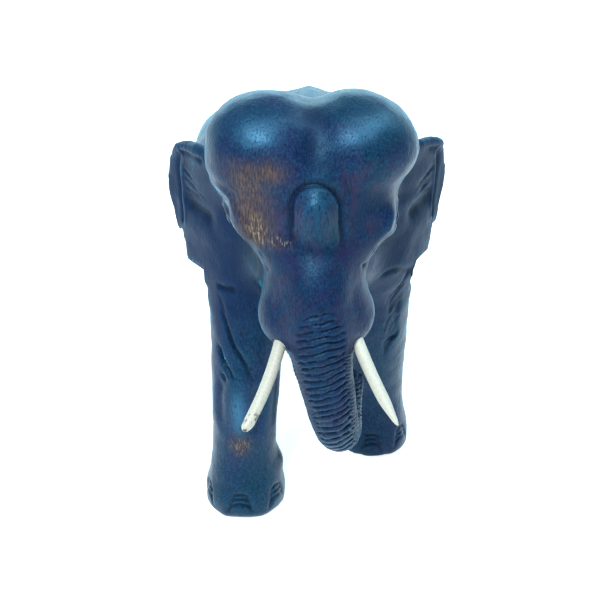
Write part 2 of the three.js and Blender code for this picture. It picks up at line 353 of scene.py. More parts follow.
# the left ear's tip lies flat against the shoulder
tip = smooth_step(34, 42, hx) * smooth_step(70, 65, hx)
tip = tip * smooth_step(174, 167, hz) * smooth_step(134, 142, hz)
skin.sand(150, 0.5 * tip * smooth_step(34, 24, hy))
# the face runs flat from one cheek to the other above the nose's rings
between_cheeks = smooth_step(36, 28, abs(hx)) * smooth_step(168, 180, hz)
between_cheeks = between_cheeks * smooth_step(216, 204, hz) * smooth_step(-28, -38, hy)
skin.sand(260, 0.5 * between_cheeks, crests=0.02)
# the carved places get finer points: head, feet and the fronts of the front legs, then the face once more
hx, hy, hz = head_points(skin).T
front = (hy < 66) & (hz > 138)
feet = (hz < 60) & (hy < 80)
x, y, z = skin.points.T
legs = (z > 55) & (z < 182) & (y < np.where(x < 0, 30, 80)) & (skin.normals()[:, 1] < 0.1)
skin.refine((front & (abs(hx) < 95)) | feet | legs)
skin.sand(3, 0.5)
hx, hy, hz = head_points(skin).T
face = (hy < -22) & (hz > 85) & (hz < 215)
skin.refine(face)
skin.sand(3, 0.5)


# ---- Carving ----
# Lines on the head are given on the straight head, before it is turned, and the rest on the guide lines. After
# its line, a cut's numbers are its width and depth in millimetres and the share of its length that each end fades.


def on_head(line):
    return turn_head(np.array(line, float))


def swell(centre, radii, height):
    """Raises a soft oval, or with a height below 0 hollows one."""
    away = (skin.points - centre) / np.array(radii, float)
    skin.push(height * np.exp(-(away**2).sum(1)))


def ridge(line, width, height, fade=0.25):
    """A rounded edge left standing along a line: a groove turned outwards."""
    skin.gouge(line, width, -height, fade)


def laid_on(line):
    """The line moved onto the skin: each of its points takes the place of the skin's nearest point."""
    nearest = [((skin.points - place) ** 2).sum(1).argmin() for place in np.array(line, float)]
    return skin.points[nearest]


def both_sides(line):
    """The line on the elephant's right, where x is below 0, and its mirror on the left."""
    line = np.array(line, float)
    return [line, line * [-1, 1, 1]]


dice = np.random.default_rng(7)

# The folds where each ear's tip meets the shoulder.
LEFT_FOLD = [(67, 20, 166), (61, 12, 171), (55, 5, 175), (46, 0, 175), (40, -2, 171)]
RIGHT_FOLD = [(-61, 9, 167), (-54, 3, 165.5), (-46, 0, 166)]
skin.gouge(laid_on(on_head(LEFT_FOLD)), 1.7, 1.3, 0.2)
skin.gouge(laid_on(on_head(RIGHT_FOLD)), 2.0, 2.2, 0.3)

# The valley between the two domes of the forehead.
VALLEY = [(-1, 14, 291), (-1, -8, 289), (-2, -30, 281), (-2, -42, 268), (-2, -46, 258)]
skin.gouge(on_head(VALLEY), 11, 2.6, 0.3)


def nose_bump():
    """The round swelling at the root of the nose. A groove arches over it and dies out down its sides."""
    hx, hy, hz = head_points(skin).T
    middle, half_width = -1.5, 13.0
    crown, centre, tail = 256.5, 243.0, 212.0  # its heights
    across = abs(hx - middle) / half_width
    above = np.clip((hz - centre) / (crown - centre), 0, None)
    below = np.clip((centre - hz) / (centre - tail), 0, None)
    inside = np.sqrt(across**2 + (above + below) ** 2)
    front = smooth_step(-34, -42, hy)
    fading = smooth_step(tail + 4, centre - 2, hz)
    skin.push(front * 2.6 * smooth_step(1.0, 0.25, inside) * smooth_step(tail, centre, hz))
    arch = np.sqrt(across**2 + above**2)
    skin.push(-2.2 * front * fading * hump(arch - 1.06, 0.11))
    skin.push(0.25 * front * fading * hump(arch - 0.86, 0.12))


nose_bump()

# The brow is an edge from the dome's corner down to the eye and on beside the nose. The temple is cut flat
# behind it.
BROW = [
    (-60.5, 2, 243), (-56, -20, 247.5), (-50, -33.5, 246), (-46.5, -37, 238), (-43, -40, 231.5),
    (-38, -41.5, 222), (-31, -44.5, 214),
]
TEMPLE = [
    (-60, -2, 232), (-54.5, -21, 237), (-51, -29, 236), (-48.5, -32, 230), (-45.5, -33, 223),
    (-39, -36, 214.5), (-32, -40, 208),
]
for line in both_sides(BROW):
    ridge(on_head(line), 2.4, 1.3, 0.2)
for line in both_sides(TEMPLE):
    skin.gouge(on_head(line), 3.4, 1.6, 0.2)


def eye(side):
    """An almond eye under the brow: a round ball between an upper and a lower lid."""
    ball = laid_on(on_head([(side * 50, -23, 226.3)]))[0]
    swell(ball, (4.0, 5.0, 3.2), 1.5)
    front, back = (side * 49, -30.5, 224.6), (side * 50, -15.5, 227.4)
    upper = [front, (side * 50, -27, 229), (side * 50, -22.5, 230.6), back]
    lower = [front, (side * 49, -26, 222.2), (side * 50, -21, 222.4), back]
    over = [(side * 49, -32, 227.5), (side * 50, -27, 232.6), (side * 50, -21, 234), (side * 50, -13, 230.5)]
    for lid in (upper, lower):
        skin.gouge(laid_on(on_head(lid)), 0.9, 1.3, 0.1)
    ridge(laid_on(on_head(over)), 1.3, 0.7)


hx, hy, hz = head_points(skin).T
skin.refine((abs(hx) > 38) & (hy > -37) & (hy < -9) & (hz > 216) & (hz < 240))
for side in (-1, 1):
    eye(side)

# Fine wrinkles that fan from below the eye towards the root of the nose.
for start_x, end_x, end_z in [(-46.5, -40, 202), (-46, -36, 203.5), (-45.5, -31, 205.5), (-45, -27, 209)]:
    middle = ((start_x + end_x) / 2, -38.5, (221 + end_z) / 2)
    for line in both_sides([(start_x, -33.5, 221), middle, (end_x, -43.5, end_z)]):
        skin.gouge(on_head(line), 0.9, 0.8, 0.35)

# The crease where the cheek starts, sharper on the left.
skin.gouge(on_head([(36, -26, 201), (33, -36, 203.5), (28, -44, 205), (21, -49, 207)]), 1.5, 1.9, 0.3)
skin.gouge(on_head([(-37, -24, 199), (-34, -35, 201), (-29, -42, 203), (-23, -46, 205)]), 1.6, 1.2, 0.3)


VEINS = 13  # on each ear


def cut_ear_edge(side):
    """The lower edge steps in on its way to the shoulder, and its outer end hangs a little below the rest."""
    head = head_points(skin)
    out = side * head[:, 0]
    corner = 168.5 + 0.55 * (80 - out) if side < 0 else 172.4 + 0.12 * (80 - out)
    low = smooth_step(corner + 0.2, corner - 0.5, head[:, 2])
    above = smooth_step(140, 150, head[:, 2])
    # behind the ear the step runs out into the shoulder
    behind = smooth_step(46, 56, head[:, 1])
    low += (smooth_step(corner + 50, corner - 2, head[:, 2]) - low) * behind
    above += (smooth_step(108, 152, head[:, 2]) - above) * behind
    # the body behind the head doesn't turn with it
    out = out - side * math.sin(HEAD_TURN) * np.clip(head[:, 1] - 74, 0, None)
    limit = 68.2 if side < 0 else 66.6 + 0.5 * np.clip(head[:, 2] - 167, 0, 5)
    beyond = np.clip(out - limit, 0, None) * low * above * smooth_step(155, 74, head[:, 1])
    head[:, 0] -= side * beyond * 0.97
    head[:, 1] -= beyond * 1.15 * (1 - behind)
    skin.points = turn_head(head)

    head = head_points(skin)
    # the upper corner is a little fuller, more so on the left
    corner_swell = hump(side * head[:, 0] - 80, 7) * hump(head[:, 2] - 249, 7)
    corner_swell = corner_swell * smooth_step(70, 62, head[:, 1])
    head[:, 0] += side * (2.6 if side > 0 else 0.8) * corner_swell
    outer = smooth_step(80.5, 83.5, side * head[:, 0]) * smooth_step(200, 191, head[:, 2])
    head[:, 2] -= 3.2 * (outer * smooth_step(180, 186, head[:, 2]))
    skin.points = turn_head(head)


def ear(side):
    """A rolled rim, and from the rim to the head a valley, a soft fold below it and fine veins above it."""
    cut_ear_edge(side)
    s = side
    rim = [(s * 79.5, 33, 246), (s * 82, 39.5, 234), (s * 82.2, 40.6, 217)]
    rim += [(s * 81.6, 39.6, 207), (s * 81.4, 39.9, 193)]
    skin.gouge(on_head(rim), 1.7, 1.9, 0.06)
    ridge(on_head([(x - s * 3.2, y - 4.2, z) for x, y, z in rim]), 1.5, 0.8, 0.1)
    under_roll = [(s * 79.5, 33, 246), (s * 72, 20, 248), (s * 67.5, 12.5, 249), (s * 63.5, 7, 248)]
    skin.gouge(on_head(under_roll), 1.7, 1.7, 0.1)
    valley = [(s * 80, 38, 213), (s * 73, 27, 212), (s * 66, 17, 211), (s * 57, 7, 208)]
    skin.gouge(on_head(valley), 5.5, 3.2, 0.3)
    ridge(on_head([(x, y, z - 15) for x, y, z in valley]), 6.5, 1.0, 0.3)
    for i in range(VEINS):
        share = i / (VEINS - 1)
        start = np.array([s * (79.5 + dice.uniform(-2, 0.5)), 37, 234 - 21 * share + dice.uniform(-1, 1)])
        end = np.array([s * 62, 12, 225 - 14 * share + dice.uniform(-1, 1)])
        end = start + (end - start) * dice.uniform(0.7, 1.0)
        middle = (start + end) / 2 + [0, -1.5, dice.uniform(-0.5, 0.5)]
        skin.gouge(on_head([start, middle, end]), 0.85, dice.uniform(0.8, 1.4), 0.3)


for side in (-1, 1):
    ear(side)


NAIL_RINGS = 3
FOOT_RADIUS = 29.0


def toenails(foot):
    """Three toenails, each of nested arcs cut round the front of the foot. Bearing 0 looks straight ahead."""
    for bearing in (-62, -4, 50):
        for ring in range(NAIL_RINGS):
            half = math.radians(19 - 3.0 * ring)
            line = []
            for t in np.linspace(-1, 1, 7):
                turn = math.radians(bearing) + t * half
                up = 4 + 5.2 * ring + (9.5 - 1.5 * ring) * math.sqrt(max(0, 1 - t * t))
                # the foot draws in above its rim
                reach = FOOT_RADIUS - 0.09 * up
                line.append((foot[0] + reach * math.sin(turn), foot[1] - reach * math.cos(turn), up))
            skin.gouge(laid_on(line), 1.2, 1.5, 0.32)


for foot in ((-46.5, 0), (46.5, 64), (46.5, 186), (-46.5, 236)):
    toenails(foot)

# The right front leg: the knee, the valley beside it and slanting gouges above it.
swell((-47.5, -16, 84), (6, 9, 17), 3.0)
skin.gouge([(-58, -8, 106), (-59, -9, 90), (-58, -11, 78), (-55, -14, 64)], 3.8, 3.4)
skin.gouge([(-36, -12, 104), (-36, -15, 88), (-38, -17, 72), (-42, -19, 62)], 4.5, 2.0)
# the foot steps out sharply above its inner side
swell((-20, 1, 31), (6, 18, 8.5), 3.4)
for i in range(4):
    along, up = -63 + 3 * i, 127 - 3 * i
    skin.gouge(laid_on([(along, -2, up), (along + 3.5, -6, up - 7), (along + 6, -9, up - 15)]), 1.3, 1.6)
skin.gouge(laid_on([(-60, -6, 108), (-57.5, -9, 105), (-55, -11, 101)]), 1.5, 1.8, 0.4)


def leg_folds(top, run, count, spread, slant, width, depth):
    """Slanting folds down a leg: the first starts at top and the last a spread on, each about a run long."""
    top, run, spread = (np.array(v, float) for v in (top, run, spread))
    for i in range(count):
        start = top + spread * (i / max(1, count - 1)) + dice.uniform(-1.2, 1.2, 3)
        end = start + run * dice.uniform(0.6, 1.1)
        middle = (start + end) / 2 + [slant, 0, 0]
        line = curve_through([start, middle, end], 5)
        skin.gouge(laid_on(line), width, depth * dice.uniform(0.7, 1.2), 0.35)


leg_folds((-66, -2, 166), (14, -3, -34), 9, (16, -2, -36), 0.5, 1.1, 0.7)
leg_folds((66, 16, 172), (-14, -4, -30), 15, (-2, 8, -56), -0.5, 1.2, 1.7)
for leg_x, leg_y in ((-70, 214), (70, 168)):
    leg_folds((leg_x, leg_y, 128), (-0.05 * leg_x, 10, -26), 6, (0, 22, -14), 0, 1.1, 0.8)
# folds of skin round the shoulder and the flank, on both sides
for side in (-1, 1):
    for i in range(5):
        leg_folds((side * 80, 62 + 7 * i, 190 - 4 * i), (side * -2, 9, -44), 1, (0, 0, 0), 0, 2.6, 1.5)
        leg_folds((side * 78, 168 + 7 * i, 180 - 5 * i), (side * -3, -12, -40), 1, (0, 0, 0), 0, 2.6, 1.5)


def chisel_marks(cell, depth):
    """The slight unevenness that hand tools leave under the sanding."""
    height = np.array([noise.noise(Vector(p)) for p in skin.points / cell])
    skin.push(height * depth)


# the spine stands up as a soft crest
ridge([(-1, 60, 250), (-1, 95, 256), (-1, 135, 256), (-1, 175, 250)], 7, 2.4, 0.2)
# the back is rounded over behind the ridge
x, y, z = skin.points.T
skin.sand(40, 0.5 * smooth_step(22, 8, abs(x)) * smooth_step(150, 172, y) * smooth_step(150, 175, z))
chisel_marks(13.0, 0.55)
chisel_marks(4.5, 0.16)
# the soles stay on the floor
skin.points[:, 2] = np.maximum(skin.points[:, 2], 0)
skin.write()

# ---- Rings round the nose ----

NOSE_ATTRIBUTES = ("down_nose", "across_nose", "on_nose")

# The middle of the nose, from between the eyes down to the curled tip, with the nose's half width there.
NOSE_PATH = [
    (-0.4, -49, 200, 21), (0, -59, 177, 20), (1.3, -64, 158, 18.5), (4.4, -67, 140, 17), (8.4, -68, 120, 15),
    (11.4, -64, 104, 14), (15, -55, 96, 13), (18.5, -44, 101, 12), (20.9, -38, 115, 10), (22, -38, 128, 8.5),
]


def give_float(mesh, name, values):
    """Gives the mesh a number at each point."""
    mesh.attributes.new(name, "FLOAT", "POINT").data.foreach_set("value", np.asarray(values, np.float32))


def nose_coordinates():
    """For each point: how far down the nose it is in mm, how far across from -1 to 1, and if it is on it."""
    path = np.array(NOSE_PATH, float)
    count = 90
    line = curve_through(path[:, :3], count)
    half = np.interp(np.linspace(0, 1, count), np.linspace(0, 1, len(path)), path[:, 3])
    points = head_points(skin)
    hx, hy, hz = points.T
    near = np.nonzero((abs(hx - 8) < 40) & (hy < -25) & (hz < 192) & (hz > 78))[0]
    p = points[near]
    away = ((p[:, None, :] - line[None]) ** 2).sum(2)
    nearest = away.argmin(1)
    steps = np.linalg.norm(np.diff(line, axis=0), axis=1)
    starts = np.concatenate([[0], np.cumsum(steps)])
    tangent = np.gradient(line, axis=0)
    tangent /= np.linalg.norm(tangent, axis=1)[:, None]
    offset = p - line[nearest]
    along = starts[nearest] + (offset * tangent[nearest]).sum(1)
    sideways = np.array([1.0, 0, 0]) - tangent[nearest] * tangent[nearest][:, :1]
    sideways /= np.linalg.norm(sideways, axis=1)[:, None]
    across = (offset * sideways).sum(1) / half[nearest]
    on = smooth_step(1.25, 1.1, np.sqrt(away.min(1)) / half[nearest])
    down, over, share = (np.zeros(len(points)) for _ in range(3))
    down[near], over[near], share[near] = along, across, on
    return down, over, share


def ring_tree():
    """Cuts rings across the nose: broad broken ones down its front, finer and closer ones on both flanks."""
    tree = bpy.data.node_groups.new("nose_rings", "GeometryNodeTree")
    face = tree.interface
    face.new_socket("Geometry", in_out="INPUT", socket_type="NodeSocketGeometry")
    for name in ("Front pitch", "Flank pitch", "Depth", "Slant", "Wander"):
        face.new_socket(name, in_out="INPUT", socket_type="NodeSocketFloat")
    face.new_socket("Finish", in_out="INPUT", socket_type="NodeSocketMaterial")
    face.new_socket("Geometry", in_out="OUTPUT", socket_type="NodeSocketGeometry")
    given = tree.nodes.new("NodeGroupInput")

    down, across, share = (
        node(tree, "GeometryNodeInputNamedAttribute", {"data_type": "FLOAT"}, Name=name)
        for name in NOSE_ATTRIBUTES
    )
    # uneven patterns about 11 mm and 5 mm across
    place = node(tree, "GeometryNodeInputPosition")
    wander = node(tree, MATH, MINUS, _0=node(tree, NOISE, Vector=place, Scale=95.0, Detail=1.0), _1=0.5)
    wander = node(tree, MATH, TIMES, _0=wander, _1=given.outputs["Wander"])
    breaks = node(tree, NOISE, Vector=place, Scale=210.0, Detail=0.0)
    # the front's rings rise a little to the elephant's left
    slanted = node(tree, MATH, TIMES_PLUS, _0=across, _1=given.outputs["Slant"], _2=down)
    slanted = node(tree, MATH, PLUS, _0=slanted, _1=wander)
    side = node(tree, MATH, {"operation": "ABSOLUTE"}, _0=across)
    # the flanks' rings fall away outwards
    fallen = node(tree, MATH, TIMES_PLUS, _0=side, _1=-9.0, _2=down)
    fallen = node(tree, MATH, PLUS, _0=fallen, _1=node(tree, MATH, TIMES, _0=wander, _1=0.6))

    def grooves(distance, pitch, narrow):
        """Rounded grooves, one to each pitch of the distance, narrower the higher narrow is."""
        turns = node(tree, MATH, {"operation": "DIVIDE"}, _0=distance, _1=pitch)
        turns = node(tree, MATH, TIMES, _0=turns, _1=2 * math.pi)
        wave = node(tree, MATH, {"operation": "COSINE"}, _0=turns)
        wave = node(tree, MATH, TIMES_PLUS, _0=wave, _1=0.5, _2=0.5)
        return node(tree, MATH, POWER, _0=wave, _1=narrow)

    # the front's rings stop at the flanks, break up here and there, and start higher in the middle
    bow = node(tree, MATH, TIMES_PLUS, _0=node(tree, MATH, POWER, _0=side, _1=2.0), _1=26.0, _2=13.0)
    started = node(tree, MATH, MINUS, _0=down, _1=bow)
    front = grooves(slanted, given.outputs["Front pitch"], 2.6)
    for where in (
        node(tree, RANGE, EASED, Value=side, From_Min=0.78, From_Max=0.6),
        node(tree, RANGE, EASED, Value=breaks, From_Min=0.3, From_Max=0.48, To_Min=0.4),
        node(tree, RANGE, EASED, Value=started, From_Min=0.0, From_Max=7.0),
    ):
        front = node(tree, MATH, TIMES, _0=front, _1=where)
    flank = grooves(fallen, given.outputs["Flank pitch"], 1.2)
    for where in (
        node(tree, RANGE, EASED, Value=side, From_Min=0.5, From_Max=0.72),
        node(tree, RANGE, EASED, Value=down, From_Min=38.0, From_Max=52.0),
    ):
        flank = node(tree, MATH, TIMES, _0=flank, _1=where)
    cut = node(tree, MATH, TIMES_PLUS, _0=flank, _1=0.62, _2=front)
    cut = node(tree, MATH, TIMES, _0=cut, _1=share)
    depth = node(tree, MATH, TIMES, _0=cut, _1=given.outputs["Depth"])
    depth = node(tree, MATH, TIMES, _0=depth, _1=-MM)
    normal = node(tree, "GeometryNodeInputNormal")
    inward = node(tree, "ShaderNodeVectorMath", {"operation": "SCALE"}, _0=normal, Scale=depth)
    moved = node(tree, "GeometryNodeSetPosition", Geometry=given.outputs["Geometry"], Offset=inward)
    real = node(tree, "GeometryNodeRealizeInstances", Geometry=moved)
    done = node(tree, "GeometryNodeSetMaterial", Geometry=real, Material=given.outputs["Finish"])
    node(tree, "NodeGroupOutput", _0=done)
    return tree


def cut_rings(finish):
    """Cuts the nose's rings and gives the block its finish. The rings' sizes are in millimetres."""
    for name, values in zip(NOSE_ATTRIBUTES, nose_coordinates()):
        give_float(skin.mesh, name, values)
    cutter = elephant.modifiers.new("nose_rings", "NODES")
    cutter.node_group = ring_tree()
    sizes = {"Front pitch": 3.8, "Flank pitch": 2.3, "Depth": 1.4, "Slant": 2.4, "Wander": 3.4}
    sizes["Finish"] = finish
    for socket in cutter.node_group.interface.items_tree:
        if socket.in_out == "INPUT" and socket.name in sizes:
            cutter[socket.identifier] = sizes[socket.name]
    made = finished_mesh(elephant)
    for name in NOSE_ATTRIBUTES:
        made.attributes.remove(made.attributes[name])


def mark_hollows():
    """Where the cuts are darker, from stain gathered in them and from painted shade in the broad valleys, and
    where the crests between them are lighter, rubbed by the cloth and given a painted highlight, from 0 to 1.
    """
    work = Skin(elephant.data)
    normals = work.normals()

    def proud_after(rounds, evened):
        """How far each point stands proud of the surface evened out, in mm, and that surface."""
        for _ in range(rounds):
            evened = (evened + work.mean_of_neighbours(evened)) / 2
        return np.einsum("ij,ij->i", work.points - evened, normals), evened

    fine, evened = proud_after(9, work.points)
    broad, _ = proud_after(70, evened)
    # the fine cuts are darkened for stain gathered in them, the broad valleys as painted shade
    cut_stain_and_shade = np.maximum(np.clip(-fine / 0.3, 0, 1), 0.85 * np.clip(-(broad - fine) / 0.8, 0, 1))
    give_float(elephant.data, "pooled_stain_and_painted_shade", cut_stain_and_shade)
    # the crests are lightened as rubbed stain and as a painted highlight
    give_float(elephant.data, "rubbed_and_highlit_crest", np.clip(fine / 0.4 - 0.1, 0, 1))


def open_sockets():
    """Bores the two tusk sockets into the cheeks."""
    bm = bmesh.new()
    for mouth, line in SOCKETS.values():
        bore_mesh(bm, mouth, line, BORE_RADIUS, -BORE_DEPTH, 9, 32)
    bmesh.ops.recalc_face_normals(bm, faces=bm.faces)
    mesh = bpy.data.meshes.new("bores")
    bm.to_mesh(mesh)
    bm.free()
    bores = add_object("bores", mesh)
    bores.data.materials.append(elephant.data.materials[0])
    drill = elephant.modifiers.new("sockets", "BOOLEAN")
    drill.operation = "DIFFERENCE"
    drill.solver = "EXACT"
    drill.object = bores
    finished_mesh(elephant)
    bpy.data.objects.remove(bores)


def thin_out():
    """Takes faces out where the surface is plain, down to what one piece may have."""
    mesh = elephant.data
    triangles = sum(len(face.vertices) - 2 for face in mesh.polygons)
    if triangles > MOST_TRIANGLES:
        thinner = elephant.modifiers.new("thinner", "DECIMATE")
        thinner.ratio = MOST_TRIANGLES / triangles
        finished_mesh(elephant)


# ---- Materials ----


def oval(across, up, middle, half_width, half_height):
    """A soft oval patch on the face or a leg: 1 at its middle, given as across and up, in millimetres."""
    return np.exp(-(((across - middle[0]) / half_width) ** 2) - ((up - middle[1]) / half_height) ** 2)


def paint_by_place():
    """Where the wood is worn, stained or polished, and where painted highlights and painted shade lie, as
    attributes of each point from 0 to 1.
    """
    hx, hy, hz = head_points(skin).T
    x, y, z = skin.points.T
    facing = smooth_step(-16, -28, hy)
    # worn to brown: a band over the right brow and a patch below the right knee
    drift = hx + 36.5 + 0.1 * (hz - 245)
    brow_wear = hump(drift, 10.5) * smooth_step(273, 261, hz) * smooth_step(213, 223, hz)
    top_wear = oval(hx, hz, (-27, 262), 9.0, 7.0)
    knee_wear = oval(x, z, (-47.5, 58), 6.5, 7.0) * smooth_step(4, -4, y) * smooth_step(30, 10, y)
    worn = np.clip(1.2 * np.maximum(brow_wear, top_wear) * facing + knee_wear, 0, 1)
    # worn through to bare wood in flecks
    flecks = oval(hx + 0.25 * (hz - 225), hz, (-33, 227), 5.0, 9.0)
    crumbs = oval(hx, hz, (-22, 223), 6.0, 2.4)
    pale = np.clip(0.9 * np.maximum(flecks, crumbs) * facing + 0.45 * knee_wear, 0, 1)
    maroon = oval(hx, hz, (25, 243), 14.0, 27.0)
    maroon = np.maximum(maroon, 0.4 * smooth_step(254, 242, hz) * smooth_step(100, 130, hz)) * facing
    # behind the head no cloth polished the wax, and the colour there is darkened as painted shade
    behind = smooth_step(22, 38, abs(hx)) * smooth_step(-14, 2, hy) * smooth_step(100, 34, hy)
    behind = behind * smooth_step(90, 165, hz) * smooth_step(264, 250, hz)
    # the cloth slid over the domes and missed the valley between them and the face below, so these are dull, and
    # they, the left brow and the right dome's side are darkened as painted shade
    valley = hump(hx, 9.0) * smooth_step(252, 262, hz)
    face_below = smooth_step(232, 218, hz)
    left_brow = 1.3 * oval(hx, hz, (27, 240), 15.0, 19.0)
    right_side = 1.2 * oval(hx, hz, (-50, 262), 9.0, 14.0)
    skipped_and_shaded = 0.5 * np.max([valley, face_below, left_brow, right_side], 0)
    skipped_and_shaded = skipped_and_shaded * smooth_step(-5, -20, hy) * smooth_step(100, 140, hz)
    # painted highlights: the knee, the crown of the nose bump and the fronts of the domes are painted pale teal
    # where the lamps make them shine
    knee = oval(x, z, (-48, 84), 4.6, 15.0) * smooth_step(0, -8, y)
    bump = oval(hx, hz, (-2, 248), 8.0, 7.0) * facing
    right_dome = oval(hx, hz, (-32, 281.5), 10.0, 5.5)
    left_dome = oval(hx, hz - 0.3 * (hx - 26), (26, 282.3), 12.0, 4.5)
    domes = 0.75 * np.maximum(right_dome, left_dome) * facing
    give_float(skin.mesh, "dull_and_shaded", np.maximum(behind, skipped_and_shaded))
    give_float(skin.mesh, "painted_highlight", np.max([knee, 0.22 * bump, domes], 0))
    give_float(skin.mesh, "worn", worn)
    give_float(skin.mesh, "pale", pale)
    give_float(skin.mesh, "maroon", maroon)


def grain(tree, across, up, detail):
    """An uneven pattern of patches about this many mm across the grain and up it, with values from 0 to 1."""
    scale = (1 / (across * MM), 1 / (across * MM), 1 / (up * MM))
    place = node(tree, "ShaderNodeTexCoord", out="Object")
    place = node(tree, "ShaderNodeMapping", Vector=place, Scale=scale)
    return node(tree, NOISE, Vector=place, Scale=1.0, Detail=detail)


def lay_coats(tree, ground, coats):
    """Lays coats of colour over the ground's, and gives the result and where each coat lies, from 0 to 1. A coat
    is its colour, how strongly it covers, the attribute that says where it lies, and the pattern it breaks up
    into: the size across the grain and up it in mm, the detail, and the values between which it comes in."""
    colour, lies = ground, {}
    for name, (coat, strength, attribute, pattern) in coats.items():
        shares = []
        if attribute:
            shares.append(node(tree, "ShaderNodeAttribute", {"attribute_name": attribute}, out="Fac"))
        if pattern:
            *size, low, high = pattern
            shares.append(node(tree, RANGE, Value=grain(tree, *size), From_Min=low, From_Max=high))
        lies[name] = node(tree, MATH, TIMES, _0=shares[0], _1=shares[1]) if len(shares) == 2 else shares[0]
        covered = node(tree, MATH, TIMES, _0=lies[name], _1=strength)
        colour = node(tree, "ShaderNodeMix", {"data_type": "RGBA"}, out=2, _0=covered, _6=colour, _7=coat)
    return colour, lies


def stained_wood():
    """A dense hardwood, carved, sanded, stained blue-black and waxed. The stain lies unevenly, navy and violet,
    with teal painted highlights and dark painted shade. The pores run up the block as short dark ticks, and rubbed
    places show brown wood. The wax gives it a soft gloss and a pale blue bloom where it turns away."""
    material = new_material("blue_black_stained_waxed_wood")
    t = material.node_tree
    brown, _ = lay_coats(t, "#33272d", {"light": ("#52403a", 1.0, None, (0.9, 4.5, 2, 0.4, 0.66))})
    coats = {
        "navy": ("#101e3e", 1.0, None, (45, 60, 2, 0.38, 0.64)),
        "violet": ("#201a42", 0.7, None, (22, 34, 3, 0.5, 0.72)),
        # fine mottling, a little over 1 mm, as coarse as it needs to be to show
        "light": ("#1f4a66", 0.42, None, (1.3, 1.9, 1, 0.45, 0.75)),
        "dark": ("#091228", 0.6, None, (1.6, 1.6, 1, 0.56, 0.8)),
        "maroon": ("#3a1a35", 0.8, "maroon", (7, 11, 3, 0.46, 0.62)),
        # painted highlight: pale teal on the knee, the nose bump and the domes
        "highlight": ("#3f6f8c", 0.6, "painted_highlight", None),
        # painted shade: the dull places behind the head and around the domes are darkened
        "dull_and_painted_shade": ("#0a1838", 0.8, "dull_and_shaded", None),
        # the crests are lighter, partly rubbed stain and partly a painted highlight
        "crests": ("#1f4a66", 0.2, "rubbed_and_highlit_crest", None),
        # the cuts are darker, stain gathered in the fine ones and painted shade in the broad valleys
        "cut_stain_and_shade": ("#050b1e", 0.7, "pooled_stain_and_painted_shade", None),
        # dark ticks 0.9 mm wide and 5 mm long, drawn about twice as coarse as the real ones
        "pores": ("#070d1a", 0.6, None, (0.9, 5.0, 0, 0.62, 0.72)),
        "brown": (brown, 1.0, "worn", (2.2, 9.0, 4, 0.16, 0.46)),
        "bare": ("#8f7d58", 1.0, "pale", (0.85, 4.2, 1, 0.56, 0.66)),
    }
    wood, lies = lay_coats(t, "#0b273b", coats)

    # the wax is glossy, duller where it is worn away and where no cloth polished it
    rough = node(t, RANGE, Value=grain(t, 5, 9, 3), To_Min=0.27, To_Max=0.4)
    rough = node(t, MATH, TIMES_PLUS, _0=lies["brown"], _1=0.15, _2=rough)
    rough = node(t, MATH, TIMES_PLUS, _0=lies["dull_and_painted_shade"], _1=0.22, _2=rough)
    # the pores are open, and the sandpaper left fine scratches
    relief = node(t, MATH, TIMES_PLUS, _0=lies["pores"], _1=-0.5, _2=grain(t, 1.1, 3.4, 2))
    bump = node(t, "ShaderNodeBump", Strength=0.35, Distance=0.5 * MM, Height=relief)
    gloss = {"Specular_IOR_Level": 0.25, "Specular_Tint": "#8fd0f2"}
    bloom = {"Sheen_Weight": 0.85, "Sheen_Roughness": 0.13, "Sheen_Tint": "#4cc0ea"}
    principled = "ShaderNodeBsdfPrincipled"
    surface = node(t, principled, Base_Color=wood, Roughness=rough, Normal=bump, IOR=1.45, **gloss, **bloom)
    node(t, "ShaderNodeOutputMaterial", Surface=surface)
    return material


def tusk_white():
    """A wooden peg sanded smooth and painted off-white: a soft satin, the grain faint under the paint, and
    chipped near the right one's tip, where the dark ground shows as specks."""
    material = new_material("satin_off_white_painted_peg")
    t = material.node_tree
    coats = {
        "grain": ("#b0aba0", 1.0, None, (10 / 9, 100 / 17, 2, 0.3, 0.62)),
        "chips": ("#3b3a36", 1.0, "chipped", (100 / 33, 100 / 33, 1, 0.58, 0.62)),
    }
    paint, _ = lay_coats(t, "#a59f90", coats)
    bump = node(t, "ShaderNodeBump", Strength=0.25, Distance=0.3 * MM, Height=grain(t, 10 / 9, 100 / 17, 2))
    surface = node(t, "ShaderNodeBsdfPrincipled", Base_Color=paint, Roughness=0.42, IOR=1.45, Normal=bump)
    node(t, "ShaderNodeOutputMaterial", Surface=surface)
    return material


paint_by_place()
cut_rings(stained_wood())
mark_hollows()
open_sockets()
thin_out()
elephant.data.polygons.foreach_set("use_smooth", [True] * len(elephant.data.polygons))
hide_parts("carved_body")
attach(elephant, "block")


SLICES = 26
LEAST_TURNED, MOST_TURNED = 0.8, 1.9  # how far a slice may be slimmed or filled out, as a share of its radius


